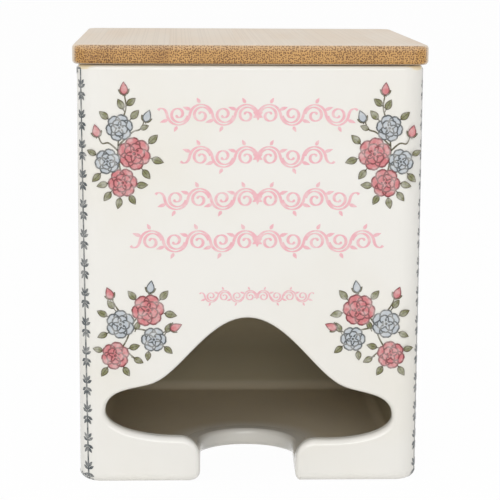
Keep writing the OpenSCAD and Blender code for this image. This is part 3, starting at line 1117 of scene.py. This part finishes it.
def bamboo_material(name, s, turn, seam, strip):
    """Lacquered bamboo board: end grain of dark dots, faces with fine streaks along the fibres, and on the
    lid a painted shade along the board's lower edge.
    """
    material, nodes, shader = new_material(name)
    place = nodes.place()
    if turn:
        place = nodes.add("ShaderNodeMapping", {"Vector": place, "Rotation": (0, 0, math.radians(-turn))})
    grain = nodes.effect(bamboo_grain, Vector=place, Seam=seam, Strip=strip)
    normal = nodes.split(nodes.add("ShaderNodeNewGeometry", out="Normal"))
    endwise = nodes.fade(nodes.math("ABSOLUTE", normal[0 if turn else 1]), 0.35, 0.75)
    z = nodes.split(place)[2]
    upper = nodes.fade(z, LID_HIGH.z - 2 * MM, LID_HIGH.z)
    face = nodes.mix(grain["Tone"], s.face, toned(s.face, 0.97, 0.97, 0.96))
    face = nodes.mix(nodes.fade(grain["Figure"], 0.35, 0.75), face, toned(s.face, 0.98, 0.945, 0.905))
    face = nodes.mix(nodes.times(grain["Bundles"], 0.06), face, s.bundle)
    end = nodes.mix(grain["Tone"], s.end, toned(s.end, 0.78, 0.73, 0.64))
    end = nodes.mix(nodes.fade(grain["Figure"], 0.3, 0.7), end, toned(s.end, 1.1, 1.12, 1.15))
    end = nodes.mix(nodes.times(upper, 0.3), end, s.face)
    dots = nodes.times(grain["Bundles"], nodes.math("MULTIPLY_ADD", upper, -0.2, 0.9))
    colour = nodes.mix(endwise, face, nodes.mix(dots, end, s.bundle))
    # Painted shade: on the lid, the board's lower rounded edge and its sides are darkened towards the
    # bundles' brown within 0.45 mm of its underside, for the shade in the gap over the rim; the flat
    # underside is left out
    if not turn:
        lowest = nodes.fade(z, LID_LOW.z + 0.45 * MM, LID_LOW.z)
        upright = nodes.fade(nodes.math("ABSOLUTE", normal[2]), 0.98, 0.8)
        colour = nodes.mix(nodes.times(nodes.times(lowest, upright), 0.9), colour, s.bundle)
    rough = nodes.math("MULTIPLY_ADD", grain["Figure"], 0.15, 0.38)
    relief = nodes.bump(grain["Bundles"], -0.25, 0.05 * MM)
    nodes.feed(shader, {"Base Color": colour, "Roughness": rough, "IOR": 1.48, "Normal": relief})
    return material


# Scales of the silicone's cloudiness and of the dust on it
CLOUDINESS, DUST = 180, 2600


def silicone_material(s):
    """Pale translucent silicone, a little cloudy, with fine dust on its skin."""
    material, nodes, shader = new_material("silicone")
    place = nodes.place()
    cloud = nodes.fade(nodes.noise(place, CLOUDINESS, 3), 0.35, 0.7)
    dust = nodes.noise(place, DUST, 2)
    nodes.feed(shader, {
        "Base Color": nodes.mix(cloud, s.seal, toned(s.seal, 0.9, 0.9, 0.9)),
        "Roughness": nodes.math("MULTIPLY_ADD", dust, 0.2, 0.36),
        "IOR": 1.42,
        "Subsurface Weight": 0.25,
        "Subsurface Scale": 1.5 * MM,
        "Normal": nodes.bump(dust, 0.2, 0.02 * MM),
    })
    return material


# ---- the stage


def seen_directly(nodes):
    """1 where the camera, a reflection or a refraction looks at a surface, and 0 for the light on it."""
    path = nodes.tree.nodes.new("ShaderNodeLightPath").outputs
    seen = nodes.math("MAXIMUM", path["Is Glossy Ray"], path["Is Transmission Ray"])
    return nodes.math("MAXIMUM", path["Is Camera Ray"], seen)


def shown_white(nodes, lit, kind, part, output):
    """Show plain white for a part of what is seen directly, and leave the light as it is."""
    white = nodes.add(kind, {"Color": (1, 1, 1, 1), "Strength": 1.0})
    mixed = nodes.add("ShaderNodeMixShader", {0: part, 1: lit.outputs[0], 2: white})
    nodes.tree.links.new(mixed, nodes.tree.nodes[output].inputs["Surface"])


def light_world(settings):
    """Even light from all round, and plain white where the camera looks past the floor."""
    world = bpy.data.worlds.new("studio")
    bpy.context.scene.world = world
    world.use_nodes = True
    nodes = Nodes(world.node_tree)
    sky = world.node_tree.nodes["Background"]
    nodes.feed(sky, {"Strength": settings.sky, "Color": (1.0, 0.99, 0.975, 1)})
    shown_white(nodes, sky, "ShaderNodeBackground", seen_directly(nodes), "World Output")


def lay_floor(settings):
    """A wide pale floor, nearly white to the camera."""
    material, nodes, shader = new_material("pale_floor")
    nodes.feed(shader, {"Base Color": (0.95, 0.95, 0.94, 1), "Roughness": 0.9})
    part = nodes.times(seen_directly(nodes), settings.whiteness)
    shown_white(nodes, shader, "ShaderNodeEmission", part, "Material Output")
    bm = bmesh.new()
    bmesh.ops.create_grid(bm, x_segments=1, y_segments=1, size=settings.floor_size / 2)
    floor = finished(bm, "floor", None, material)


# Soft lamps: place, width, height and watts. All of them look at LAMP_AIM, the middle of the box
LAMP_AIM = Vector((0, 0, 0.06))
LAMPS = {
    "key_lamp": ((-0.4, -1.0, 0.8), 0.8, 0.8, 3.2),
    "front_lamp": ((0.05, -1.3, 0.38), 0.9, 0.4, 5.1),
    "left_lamp": ((-1.1, -0.4, 0.5), 0.7, 0.7, 1.8),
    "right_lamp": ((1.1, -0.4, 0.5), 0.7, 0.7, 1.5),
    "top_lamp": ((0.0, 0.1, 1.2), 0.8, 0.8, 2.1),
}


def soft_lamp(name, place, wide, tall, watts):
    """A soft lamp that looks at the box."""
    lamp = bpy.data.lights.new(name, "AREA")
    lamp.shape = "RECTANGLE"
    lamp.size = wide
    lamp.size_y = tall
    lamp.energy = watts
    thing = linked(name, lamp)
    thing.location = place
    thing.rotation_euler = (LAMP_AIM - Vector(place)).to_track_quat("-Z", "Y").to_euler()


def place_camera(settings):
    """The camera, at the photograph's viewing angle."""
    data = bpy.data.cameras.new("camera")
    data.lens = settings.lens
    data.sensor_width = 36
    camera = linked("camera", data)
    aim = Euler((math.pi / 2 - settings.pitch, 0, -settings.yaw)).to_matrix().to_4x4()
    roll = Matrix.Rotation(settings.roll, 4, "Z")
    camera.matrix_world = Matrix.Translation(settings.eye) @ aim @ roll
    bpy.context.scene.camera = camera


class ORGANIZER_OT_stage(bpy.types.Operator):
    """Lay the pale floor, hang the soft lamps and place the camera"""

    bl_idname = "organizer.stage"
    bl_label = "Stage"

    def execute(self, context):
        settings = context.scene.organizer_stage
        lay_floor(settings)
        light_world(settings)
        for name, lamp in LAMPS.items():
            soft_lamp(name, *lamp)
        place_camera(settings)
        context.scene.view_settings.view_transform = "Standard"
        return {"FINISHED"}


# ---- the add-on


class ORGANIZER_PT_panel(bpy.types.Panel):
    """Lists the organizer's pieces, sizes and colours"""

    bl_idname = "ORGANIZER_PT_panel"
    bl_label = "Tea bag organizer"
    bl_space_type = "VIEW_3D"
    bl_region_type = "UI"
    bl_category = "Organizer"

    def draw(self, context):
        for operator in OPERATORS:
            self.layout.operator(operator.bl_idname)
        for name in GROUPS:
            group = getattr(context.scene, name)
            box = self.layout.box()
            for field in group.__annotations__:
                box.prop(group, field)


GROUPS = {
    "organizer_body": BodySizes,
    "organizer_glaze": GlazeFinish,
    "organizer_decor": DecorSizes,
    "organizer_lid": LidSizes,
    "organizer_stage": StageSettings,
}
OPERATORS = (
    ORGANIZER_OT_body,
    ORGANIZER_OT_lid,
    ORGANIZER_OT_border,
    ORGANIZER_OT_sprays,
    ORGANIZER_OT_scrolls,
    ORGANIZER_OT_stage,
)


def register():
    for cls in (*GROUPS.values(), *OPERATORS, ORGANIZER_PT_panel):
        bpy.utils.register_class(cls)
    for name, group in GROUPS.items():
        setattr(bpy.types.Scene, name, PointerProperty(type=group))


def unregister():
    for name in GROUPS:
        delattr(bpy.types.Scene, name)
    for cls in (ORGANIZER_PT_panel, *reversed(OPERATORS), *reversed(GROUPS.values())):
        bpy.utils.unregister_class(cls)


def main():
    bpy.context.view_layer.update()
    register()
    bpy.ops.organizer.body()
    bpy.ops.organizer.lid()
    bpy.ops.organizer.border()
    bpy.ops.organizer.sprays()
    bpy.ops.organizer.scrolls()
    bpy.ops.organizer.stage()
    bpy.context.view_layer.update()


if __name__ == "__main__":
    main()
